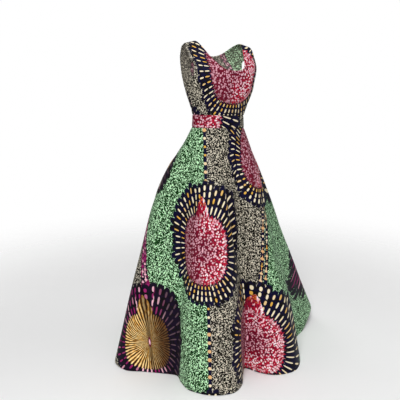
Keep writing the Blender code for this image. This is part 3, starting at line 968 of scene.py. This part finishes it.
class Value:
    """An output of a shader node. Arithmetic on it adds the nodes that work the result out."""

    def __init__(self, socket):
        self.socket = socket

    def __add__(self, other):
        return compute("ADD", self, other)

    def __sub__(self, other):
        return compute("SUBTRACT", self, other)

    def __rsub__(self, other):
        return compute("SUBTRACT", other, self)

    def __mul__(self, other):
        return compute("MULTIPLY", self, other)

    def __truediv__(self, other):
        return compute("DIVIDE", self, other)

    def __rtruediv__(self, other):
        return compute("DIVIDE", other, self)

    def __pow__(self, other):
        return compute("POWER", self, other)

    def __gt__(self, other):
        return compute("GREATER_THAN", self, other)

    def __lt__(self, other):
        return compute("LESS_THAN", self, other)

    def __abs__(self):
        return compute("ABSOLUTE", self)

    def axes(self):
        """Its parts along x, y and z."""
        first = add("ShaderNodeSeparateXYZ", (self,))
        return [Value(part) for part in first.socket.node.outputs]

    def step(self, low, high):
        """0 below low, 1 above high and a soft step between them. low above high turns it round."""
        values = (self, low, high, 0.0, 1.0) if low < high else (self, high, low, 1.0, 0.0)
        return add("ShaderNodeMapRange", values, interpolation_type="SMOOTHSTEP")

    def blend(self, first, second):
        """Colour that goes from first to second as this value goes from 0 to 1."""
        return mix("RGBA", self, first, second)


def fill(node, values):
    """Links or sets inputs of a node, in their order or by number or name."""
    pairs = values.items() if isinstance(values, dict) else enumerate(values)
    for key, value in pairs:
        if isinstance(value, Value):
            node.id_data.links.new(value.socket, node.inputs[key])
        else:
            node.inputs[key].default_value = value


def add(kind, values=(), output=0, tree=None, **settings):
    """Adds a node beside the values given to it, or in a tree, and gives one of its outputs."""
    if tree is None:
        given = values.values() if isinstance(values, dict) else values
        tree = next(value.socket.id_data for value in given if isinstance(value, Value))
    node = tree.nodes.new(kind)
    for name, value in settings.items():
        setattr(node, name, value)
    fill(node, values)
    return Value(node.outputs[output])


def compute(operation, *values, output=0):
    """A step of arithmetic on numbers, or on vectors where the first value from a node is one."""
    first = next(value for value in values if isinstance(value, Value))
    kind = "ShaderNodeVectorMath" if first.socket.type == "VECTOR" else "ShaderNodeMath"
    return add(kind, values, output, operation=operation)


def length_of(vector):
    return compute("LENGTH", vector, output=1)


def mix(kind, share, first, second):
    """Goes from first to second as share goes from 0 to 1, for numbers, vectors or colours."""
    place, output = {"FLOAT": (2, 0), "VECTOR": (4, 1), "RGBA": (6, 2)}[kind]
    if kind == "RGBA":
        first, second = (c if isinstance(c, Value) else (*c, 1) for c in (first, second))
    return add("ShaderNodeMix", {0: share, place: first, place + 1: second}, output, data_type=kind)


def joined(*parts):
    return add("ShaderNodeCombineXYZ", parts)


def chance_of(*numbers):
    """A random number from 0 to 1 for each set of two or three numbers."""
    return add("ShaderNodeTexWhiteNoise", (joined(*numbers),), noise_dimensions=f"{len(numbers)}D")


def cloud(place, size, detail, distortion=0.0):
    """Soft noise with clouds of a given size."""
    values = {"Vector": place, "Scale": 1 / size, "Detail": detail, "Distortion": distortion}
    return add("ShaderNodeTexNoise", values)


def bands(place, period, direction, distortion, detail):
    """Waves across one direction, a given distance apart."""
    scale = math.tau / (20 * period)
    values = {"Vector": place, "Scale": scale, "Distortion": distortion, "Detail": detail}
    return add("ShaderNodeTexWave", values, output=1, bands_direction=direction)


def bump(height, strength, distance):
    return add("ShaderNodeBump", {"Strength": strength, "Distance": distance, "Height": height})


def new_material(name):
    """A material with its main shader, and the place on the piece in metres."""
    material = bpy.data.materials.new(name)
    material.use_nodes = True
    tree = material.node_tree
    tree.nodes.clear()
    shader = tree.nodes.new("ShaderNodeBsdfPrincipled")
    fill(tree.nodes.new("ShaderNodeOutputMaterial"), {"Surface": Value(shader.outputs[0])})
    return material, shader, add("ShaderNodeTexCoord", output=3, tree=tree)


def crackle(place, size, seed, low, high):
    """Irregular specks of a given size in metres, as soft shares of 0 and 1."""
    return cloud(place + (seed, seed * 0.7, 0), size, 0.0, CRACKLE_DISTORTION).step(low, high)


def dots(place, apart, size):
    """Scattered dots of wax, a given distance apart in metres, and a share of that distance wide."""
    cells = add("ShaderNodeTexVoronoi", {"Vector": place, "Scale": 1 / apart})
    return cells.step(size * (1 + DOT_SOFTNESS), size * (1 - DOT_SOFTNESS))


def oval_size(place, half_width, half_height, squareness):
    """Size of the squarish oval through a place: 1 on the oval that has the given half sizes."""
    wide, tall, _ = abs(place * (1 / half_width, 1 / half_height, 0)).axes()
    return (wide**squareness + tall**squareness) ** (1 / squareness)


def ground_colour(cloth, place):
    """Green and khaki stripes between the columns, each with its pale and dark crackle."""
    settings = bpy.context.scene.dress_print
    across = cloth.axes()[0]
    is_green = compute("FRACT", across / (2 * settings.column_spacing)) > 0.5
    pale = crackle(place, *PALE_SPECKS)
    dark = crackle(place, *DARK_SPECKS)
    khaki = pale.blend(dark.blend(settings.khaki, settings.soot), settings.chalk)
    green = pale.blend(dark.blend(settings.green, settings.pine), settings.mint)
    return is_green.blend(khaki, green)


def chain_colour(cloth, place, ground):
    """Beads on a dark cord along each column: single, in a pair, or in pairs of magenta."""
    settings = bpy.context.scene.dress_print
    spacing = settings.column_spacing
    across, down, _ = cloth.axes()
    local = compute("WRAP", across, spacing / 2, -spacing / 2)
    column = compute("FRACT", across / (4 * spacing) + 0.125)
    is_gold = column > 0.5
    is_pair = column > 0.25
    away = abs(abs(local) - (is_pair * PAIR_APART - is_gold * GOLD_PAIR_CLOSER))
    is_right = (local > 0.0) * is_pair
    often = is_gold * (GOLD_MORE_BEADS / BEAD_PERIOD) + 1 / BEAD_PERIOD
    along = down * often + is_right * 0.5
    chance = chance_of(compute("FLOOR", along), is_right)
    beside = (compute("FRACT", along) - 0.5) / often
    from_bead = length_of(joined(away, beside) * (1 / BEAD_WIDTH, 1 / BEAD_HEIGHT, 0))
    size = chance * BEAD_SIZE_SPREAD + BEAD_LEAST_SIZE - is_pair * PAIR_SMALLER
    on_bead = (size - from_bead).step(-BEAD_SOFTNESS, BEAD_SOFTNESS)
    # Between the beads of a pair runs a thin pale stroke
    stroke = away.step(*STROKE_HALF_WIDTHS) * is_pair * crackle(place, *STROKE_GAPS)
    on_bead = compute("MAXIMUM", on_bead, stroke)
    warm = chance.step(0.2, 0.9).blend(settings.cream, settings.peach)
    warm = chance.step(0.30, 0.22).blend(warm, settings.yellow)
    pink = chance.step(0.4, 0.7).blend(settings.rose, settings.magenta)
    stained = crackle(place, *CORD_STAINS).blend(settings.purple, linear(BERRY))
    cord_colour = is_gold.blend(settings.navy, stained)
    on_cord = (is_gold * GOLD_CORD_WIDER + CORD_HALF_WIDTH - away).step(-CORD_SOFTNESS, CORD_SOFTNESS)
    return on_bead.blend(on_cord.blend(ground, cord_colour), is_gold.blend(warm, pink))


def medallion_place(cloth):
    """Place on the nearest medallion, measured from its middle, and whether it is a gold one.

    Medallions stand in two interleaved lattices, half a repeat apart both ways. Places on a gold
    one are stretched, so that the sizes of the red ones serve both.
    """
    settings = bpy.context.scene.dress_print
    spacing, half_repeat = settings.column_spacing, settings.repeat_height / 2
    found = []
    for shift in ((0.0, 0.0, 0.0), (spacing, half_repeat, 0.0)):
        moved = cloth - shift
        local = compute("WRAP", moved, (spacing, half_repeat, 1.0), (-spacing, -half_repeat, -1.0))
        size = oval_size(local, *RING_OVAL)
        is_gold = compute("FRACT", moved.axes()[0] / (4 * spacing) + 0.25) > 0.5
        found.append((local, size, is_gold))
    (local_a, size_a, gold_a), (local_b, size_b, gold_b) = found
    is_second = size_b < size_a
    is_gold = mix("FLOAT", is_second, gold_a, gold_b)
    stretch = mix("VECTOR", is_gold, (1, 1, 1), (GOLD_NARROWER, GOLD_SHORTER, 1))
    return mix("VECTOR", is_second, local_a, local_b) * stretch, is_gold


def medallion_colour(cloth, place, ground):
    """Oval medallions with a speckled core, a pointed tip and a ring of dashed bars."""
    settings = bpy.context.scene.dress_print
    local, is_gold = medallion_place(cloth)
    ring_size = oval_size(local, *RING_OVAL)
    lowered = local - (CORE_ASIDE, CORE_DOWN, 0)
    body_size = oval_size(lowered, *CORE_OVAL)
    body_size = body_size * (is_gold * (GOLD_CORE_SMALLER - 1) + 1.0)
    across, down, _ = lowered.axes()

    # Bars round the medallion, counted from its tip
    mean_width, mean_height = ((CORE_OVAL[i] + RING_OVAL[i]) / 2 for i in range(2))
    turn = compute("ARCTAN2", across * (1 / mean_width), down * (-1 / mean_height))
    fewer = (GOLD_RAYS - settings.rays) / math.tau
    bars = turn * (is_gold * fewer + settings.rays / math.tau)
    bar = compute("FLOOR", bars)
    beside = abs(compute("FRACT", bars) - 0.5)
    hollow = beside**4.0
    chance = chance_of(bar, is_gold)
    upright = compute("COSINE", turn)
    sideways = compute("SINE", turn)

    # The core: a tip at the top, and an edge that the bars bite into or the gold ribs stand out of
    tip_size = oval_size(local - (CORE_ASIDE, -TIP_UP, 0), *TIP_OVAL)
    ribs = compute("COSINE", turn * GOLD_RIBS)
    tooth = mix("FLOAT", is_gold, hollow * CORE_TOOTH - CORE_SHRINK, ribs * RIB_STANDS_OUT)
    core_size = compute("SMOOTH_MIN", body_size - tooth, tip_size, TIP_BLEND)
    in_core = core_size.step(1 + CORE_SOFTNESS, 1 - CORE_SOFTNESS)
    ragged = chance * RING_RAGGED + RING_LEAST
    in_ring = (ragged - hollow * RING_BITE - ring_size).step(-RING_SOFTNESS, RING_SOFTNESS)

    # Dashes: more of them along the long bars at both ends of the oval
    from_core = 1.0 - 1.0 / body_size
    to_edge = ragged / ring_size - DASHES_END
    share = from_core / (from_core + to_edge)
    steep = abs(upright) ** 2.0
    more = (upright > 0.0) * MORE_DASHES_ABOVE + MORE_DASHES
    dashes = share * compute("ROUND", steep * more + DASHES_ASIDE)
    tint = chance_of(bar, compute("FLOOR", dashes), is_gold)
    shortness = tint * DASH_SHORT_SPREAD + DASH_SHORT
    along = abs((compute("FRACT", dashes) - 0.5) * shortness) ** 3.0
    # Width of a bar at its place round the oval, in metres
    turn_step = math.tau / settings.rays
    pitch = length_of(joined(upright, sideways) * (mean_width * turn_step, mean_height * turn_step, 0))
    broad = (beside * pitch / (steep * DASH_WIDER + DASH_HALF_WIDTH)) ** 2.0
    on_dash = (along + broad).step(1.15, 0.85) * share.step(1.0, 0.98)
    warm = tint.step(0.40, 0.85).blend(settings.cream, settings.yellow)
    pink = tint.step(0.15, 0.4).blend(settings.rose, settings.magenta)
    # Painted shade: the pink dashes dim to a greyish pink towards the right side of the ring
    pink = across.step(0.02, 0.12).blend(pink, linear(SHADED_DASH_PINK))
    bar_colour = is_gold.blend(settings.navy, settings.purple)
    bar_colour = crackle(place, *BAR_STAINS).blend(bar_colour, linear(INK))
    ring = on_dash.blend(bar_colour, is_gold.blend(warm, pink))

    red = red_core(place, across, down, turn, body_size)
    core = is_gold.blend(red, gold_core(place, across, turn, ribs, body_size))
    # A seed in the middle of the core, pale with a dark outline
    seed_size = oval_size(lowered, *SEED_OVAL)
    core = seed_size.step(1.9, 1.3).blend(core, settings.wine)
    core = seed_size.step(1.0, 0.7).blend(core, settings.rose)
    return in_core.blend(in_ring.blend(ground, ring), core)


def red_core(place, across, down, turn, body_size):
    """Wine in the middle and on one side, crimson towards the rim, with pale specks and streaks."""
    settings = bpy.context.scene.dress_print
    specks = dots(place, CORE_SPECK, CORE_SPECK_SIZE)
    streaks = cloud(joined(turn, body_size) * RIM_STREAKS, 1.0, 2.0).step(0.54, 0.58)
    pale = mix("FLOAT", body_size.step(0.80, 1.02), specks, streaks)
    deep = compute("MAXIMUM", body_size.step(0.85, 0.15), across.step(0.020, -0.035)) * 0.9
    red = deep.blend(settings.crimson, settings.wine)
    red = crackle(place, *WINE_STAINS).blend(red, settings.wine)
    pale_colour = crackle(place, *PALEST_SPECKS).blend(settings.rose, linear(PALE_PINK))
    red = pale.blend(red, deep.blend(pale_colour, linear(DUSKY_PINK)))
    flame = down.step(-0.180, -0.205) * specks
    return flame.blend(red, linear(FLAME))


def gold_core(place, across, turn, ribs, body_size):
    """Fine ribs from the middle to the rim, golden on the left, with painted shade turning the right side
    brown.
    """
    settings = bpy.context.scene.dress_print
    # Painted shade: the core goes from gold on its left to brown on its right, as though lit from the left
    side = across.step(-0.05, 0.07)
    uneven = crackle(place, *RUST_STAINS) * 0.45
    colour = uneven.blend(side.blend(settings.gold, linear(SHADED_CORE_BROWN)), linear(RUST))
    wobble = cloud(joined(turn, body_size) * RIB_UNEVENNESS, 1.0, 1.0) - 0.5
    lines = ribs + wobble * RIB_WOBBLE
    # Painted shade also dims the pale ribs from straw to umber on the right side
    pale = side.blend(linear(STRAW), linear(SHADED_RIB_UMBER))
    colour = lines.step(0.50, 0.90).blend(colour, pale)
    colour = lines.step(0.05, -0.35).blend(colour, settings.brown)
    spine = abs(across).step(0.012, 0.004) * 0.55
    return spine.blend(colour, settings.brown)


def print_material(name, fade, roughness):
    """Printed cotton, paler by a share."""
    material, shader, place = new_material(name)
    cloth = add("ShaderNodeUVMap", tree=material.node_tree, uv_map=UV_NAME)
    ground = chain_colour(cloth, place, ground_colour(cloth, place))
    colour = medallion_colour(cloth, place, ground)
    if fade:
        colour = mix("RGBA", fade, colour, linear(FADED))
    across, along = (bands(cloth, WEAVE_PITCH, direction, 0.6, 1.0) for direction in ("X", "Y"))
    looks = {
        "Base Color": colour,
        "Roughness": roughness,
        "Sheen Weight": 0.015,
        "Sheen Roughness": 0.4,
        "Specular IOR Level": 0.12,
        "Normal": bump(across * along, 0.35, 0.1 * MM),
    }
    fill(shader, looks)
    return material


def printed_cotton():
    """Wax-printed plain-weave cotton: saturated, matt, with a faint sheen across the folds."""
    name = "wax_printed_cotton"
    return bpy.data.materials.get(name) or print_material(name, 0.0, 0.62)


def printed_cotton_reverse():
    """The same cloth from inside: a wax print goes right through, a little paler and drier."""
    name = "wax_printed_cotton_reverse"
    return bpy.data.materials.get(name) or print_material(name, 0.16, 0.8)


def sewing_thread():
    """Spun polyester thread: near black, with the small gloss of its twist."""
    material, shader, place = new_material("spun_polyester_thread")
    colour = cloud(place, 0.6 * MM, 1.0).blend(linear("14121E"), linear("2C2A38"))
    fill(shader, {"Base Color": colour, "Roughness": 0.5})
    return material


def zip_tape():
    """Woven polyester tape: dull black-brown, ribbed across."""
    material, shader, place = new_material("woven_polyester_tape")
    ribs = bands(place, 1.2 * MM, "Z", 0.3, 2.0)
    colour = ribs.blend(linear("17151A"), linear("2A262C"))
    fill(shader, {"Base Color": colour, "Roughness": 0.75, "Normal": bump(ribs, 0.5, 0.1 * MM)})
    return material


def zip_coil():
    """Extruded nylon coil: black with a soft gloss."""
    material, shader, place = new_material("nylon_coil")
    colour = cloud(place, 4 * MM, 1.0).blend(linear("121015"), linear("201C24"))
    fill(shader, {"Base Color": colour, "Roughness": 0.38})
    return material


def zip_metal():
    """Die-cast zinc, plated dark nickel: fine scratches along the tab and worn, paler patches."""
    material, shader, place = new_material("plated_zinc")
    stretched = add("ShaderNodeMapping", {0: place, 3: (6.0, 6.0, 1.0)})
    scratches = cloud(stretched, 3 * MM, 3.0)
    colour = cloud(place, 6 * MM, 2.0).step(0.45, 0.7).blend(linear("6E6A66"), linear("A9A49C"))
    looks = {
        "Base Color": colour,
        "Roughness": add("ShaderNodeMapRange", (scratches, 0.3, 0.7, 0.22, 0.42)),
        "Normal": bump(scratches, 0.3, 0.02 * MM),
        "Metallic": 1.0,
    }
    fill(shader, looks)
    return material


# Operators


class DRESS_OT_sew_bodice(Operator):
    """Lay the front and the two back pieces of the bodice"""

    bl_idname = "batik_dress.sew_bodice"
    bl_label = "Sew bodice"

    def execute(self, context):
        pieces = (
            # node, start, end, neck drop, place on the print, flat size, flat area
            ("bodice_front", -90, 90, FRONT_NECK_DROP, BODICE_PRINT, (0.48, 0.40), 0.107),
            ("bodice_back_left", 90, 180, BACK_NECK_DROP, BODICE_PRINT, (0.25, 0.36), 0.0550),
            ("bodice_back_right", -180, -90, BACK_NECK_DROP, BACK_RIGHT_PRINT, (0.25, 0.36), 0.0545),
        )
        for node, start, end, drop, place, flat, area in pieces:
            grid = bodice_grid(start, end, drop)
            prints = body_print(bodice_point, WAIST_ROLL, place, shaping=float(place == BODICE_PRINT))
            cloth_panel(
                node, bodice_point, bodice_relief, grid, prints, finish="top"
            )
        return {"FINISHED"}


class DRESS_OT_sew_waistband(Operator):
    """Lay the front and the two back pieces of the waistband"""

    bl_idname = "batik_dress.sew_waistband"
    bl_label = "Sew waistband"

    def execute(self, context):
        prints = body_print(waistband_point, 1.0, WAISTBAND_PRINT)
        pieces = (
            # node, start, end, flat size, flat area
            ("waistband_front", -90, 90, (0.348, 0.057), 0.0192),
            ("waistband_back_left", 90, 180, (0.175, 0.057), 0.0096),
            ("waistband_back_right", -180, -90, (0.175, 0.057), 0.0096),
        )
        for node, start, end, flat, area in pieces:
            counts = (round(WAISTBAND_COLUMNS * (end - start) / 180), WAISTBAND_ROWS)
            grid = ring_grid(
                start, end, counts, WAISTBAND_HEIGHT, waistband_radius, SEAM_GAP / 2, BAND_EDGE_SHARES
            )
            cloth_panel(
                node, waistband_point, waistband_relief, grid, prints
            )
        return {"FINISHED"}


class DRESS_OT_sew_skirt(Operator):
    """Lay the front and the two back panels of the flared skirt"""

    bl_idname = "batik_dress.sew_skirt"
    bl_label = "Sew skirt"

    def execute(self, context):
        pieces = (
            # node, start, end, flat size, flat area
            ("skirt_front", -90, 90, (1.50, 1.19), 1.117),
            ("skirt_back_left", 90, 180, (1.02, 1.19), 0.711),
            ("skirt_back_right", -180, -90, (0.89, 1.19), 0.636),
        )
        for node, start, end, flat, area in pieces:
            counts = (round(SKIRT_COLUMNS * (end - start) / 180), SKIRT_ROWS)
            grid = ring_grid(start, end, counts, SKIRT_LENGTH, skirt_radius, 0.0)
            cloth_panel(
                node, skirt_point, skirt_relief, grid, skirt_print, finish="hem"
            )
        return {"FINISHED"}


class DRESS_OT_finish_zip(Operator):
    """Give the slider and the pull tab of the zip their metal"""

    bl_idname = "batik_dress.finish_zip"
    bl_label = "Finish zip"

    def execute(self, context):
        metal = zip_metal()
        for name in ("zip_slider", "zip_pull"):
            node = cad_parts[name]
            for slot in node.material_slots:
                slot.material = metal
        return {"FINISHED"}


LIGHTS = (
    # name, place, size, which power of the settings
    ("key_light", (-2.3, -2.8, 1.5), 1.5, "key_power"),
    ("top_light", (0.0, 0.0, 3.2), 4.0, "top_power"),
    ("fill_light", (3.2, -1.2, 0.6), 2.4, "fill_power"),
    ("back_light", (0.4, 3.4, 1.4), 2.6, "fill_power"),
)


class DRESS_OT_light_stage(Operator):
    """Set the floor, the soft lights and the camera"""

    bl_idname = "batik_dress.light_stage"
    bl_label = "Light stage"

    def execute(self, context):
        settings = context.scene.dress_stage
        lay_floor(settings)
        light_room(settings)
        for name, place, size, power in LIGHTS:
            soft_light(name, place, size, getattr(settings, power))
        place_camera()
        context.scene.view_settings.view_transform = "Standard"
        return {"FINISHED"}


FLOOR_RADIUS = 6.0
FLOOR_GAP = 0.0004
FLOOR_FADES = (2.6, 0.9)
STAGE_AIM = Vector((0.0, 0.0, -0.75))

# Camera at eye height, tipped down: turned round the dress by an angle, away from its axis by a
# distance and a little to one side, so that the dress stands right of the frame's middle
CAMERA_TURN = math.radians(-33.0)
CAMERA_DISTANCE = 3.2
CAMERA_SIDE = 0.08
CAMERA_HEIGHT = 0.150
CAMERA_PITCH = math.radians(14.9)
CAMERA_LENS = 65.52
SENSOR = 36.0


def lay_floor(settings):
    """A pale disc under the hem that fades into the white room."""
    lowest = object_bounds()[0].z
    form = bmesh.new()
    bmesh.ops.create_circle(form, cap_ends=True, segments=96, radius=FLOOR_RADIUS)
    bmesh.ops.translate(form, verts=form.verts[:], vec=(0, 0, lowest - FLOOR_GAP))
    material, shader, place = new_material("matt_studio_floor")
    pale = tuple(settings.floor)
    grain = cloud(place, 0.125, 2.0)
    looks = {
        "Base Color": grain.blend(tuple(0.985 * c for c in pale), pale),
        "Alpha": length_of(place * (1, 1, 0)).step(*FLOOR_FADES),
        "Roughness": 0.9,
    }
    fill(shader, looks)
    floor = finished("studio_floor", form, (material,))
    floor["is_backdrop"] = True


def light_room(settings):
    """A white room: plain white where it is seen, dimmer as a light."""
    world = bpy.data.worlds.new("white_room")
    world.use_nodes = True
    tree = world.node_tree
    tree.nodes.clear()
    lit = add("ShaderNodeBackground", {0: (1, 1, 1, 1), 1: settings.room_light}, tree=tree)
    seen = add("ShaderNodeBackground", {0: (1, 1, 1, 1), 1: 1.0}, tree=tree)
    direct = add("ShaderNodeLightPath", tree=tree)
    room = add("ShaderNodeMixShader", (direct, lit, seen))
    fill(tree.nodes.new("ShaderNodeOutputWorld"), {"Surface": room})
    bpy.context.scene.world = world


def soft_light(name, place, size, power):
    lamp = bpy.data.lights.new(name, "AREA")
    lamp.shape = "SQUARE"
    lamp.size = size
    lamp.energy = power
    light = bpy.data.objects.new(name, lamp)
    light.location = place
    light.rotation_euler = (STAGE_AIM - Vector(place)).to_track_quat("-Z", "Y").to_euler()
    bpy.context.scene.collection.objects.link(light)


def place_camera():
    right = Vector((math.cos(CAMERA_TURN), math.sin(CAMERA_TURN), 0))
    back = Vector((math.sin(CAMERA_TURN), -math.cos(CAMERA_TURN), 0))
    lens = bpy.data.cameras.new("studio_camera")
    lens.lens = CAMERA_LENS
    lens.sensor_width = SENSOR
    camera = bpy.data.objects.new("studio_camera", lens)
    camera.location = back * CAMERA_DISTANCE - right * CAMERA_SIDE + Vector((0, 0, CAMERA_HEIGHT))
    camera.rotation_euler = Euler((math.pi / 2 - CAMERA_PITCH, 0, CAMERA_TURN))
    bpy.context.scene.collection.objects.link(camera)
    bpy.context.scene.camera = camera


class DRESS_PT_panel(Panel):
    """Lists the steps and the settings of the dress"""

    bl_label = "Batik maxi dress"
    bl_idname = "DRESS_PT_panel"
    bl_space_type = "VIEW_3D"
    bl_region_type = "UI"
    bl_category = "Dress"

    def draw(self, context):
        for step in STEPS:
            self.layout.operator(step.bl_idname)
        for settings in (context.scene.dress_cloth, context.scene.dress_print, context.scene.dress_stage):
            for name in settings.bl_rna.properties.keys():
                if name not in ("rna_type", "name"):
                    self.layout.prop(settings, name)


SETTINGS = {
    "dress_cloth": DressClothSettings,
    "dress_print": DressPrintSettings,
    "dress_stage": DressStageSettings,
}
STEPS = (
    DRESS_OT_sew_bodice,
    DRESS_OT_sew_waistband,
    DRESS_OT_sew_skirt,
    DRESS_OT_finish_zip,
    DRESS_OT_light_stage,
)


def register():
    for group in (*SETTINGS.values(), *STEPS, DRESS_PT_panel):
        bpy.utils.register_class(group)
    for name, group in SETTINGS.items():
        setattr(bpy.types.Scene, name, PointerProperty(type=group))


def unregister():
    for name in SETTINGS:
        delattr(bpy.types.Scene, name)
    for group in reversed((*SETTINGS.values(), *STEPS, DRESS_PT_panel)):
        bpy.utils.unregister_class(group)


def main():
    register()
    bpy.ops.batik_dress.sew_bodice()
    bpy.ops.batik_dress.sew_waistband()
    bpy.ops.batik_dress.sew_skirt()
    bpy.ops.batik_dress.finish_zip()
    bpy.ops.batik_dress.light_stage()


if __name__ == "__main__":
    main()
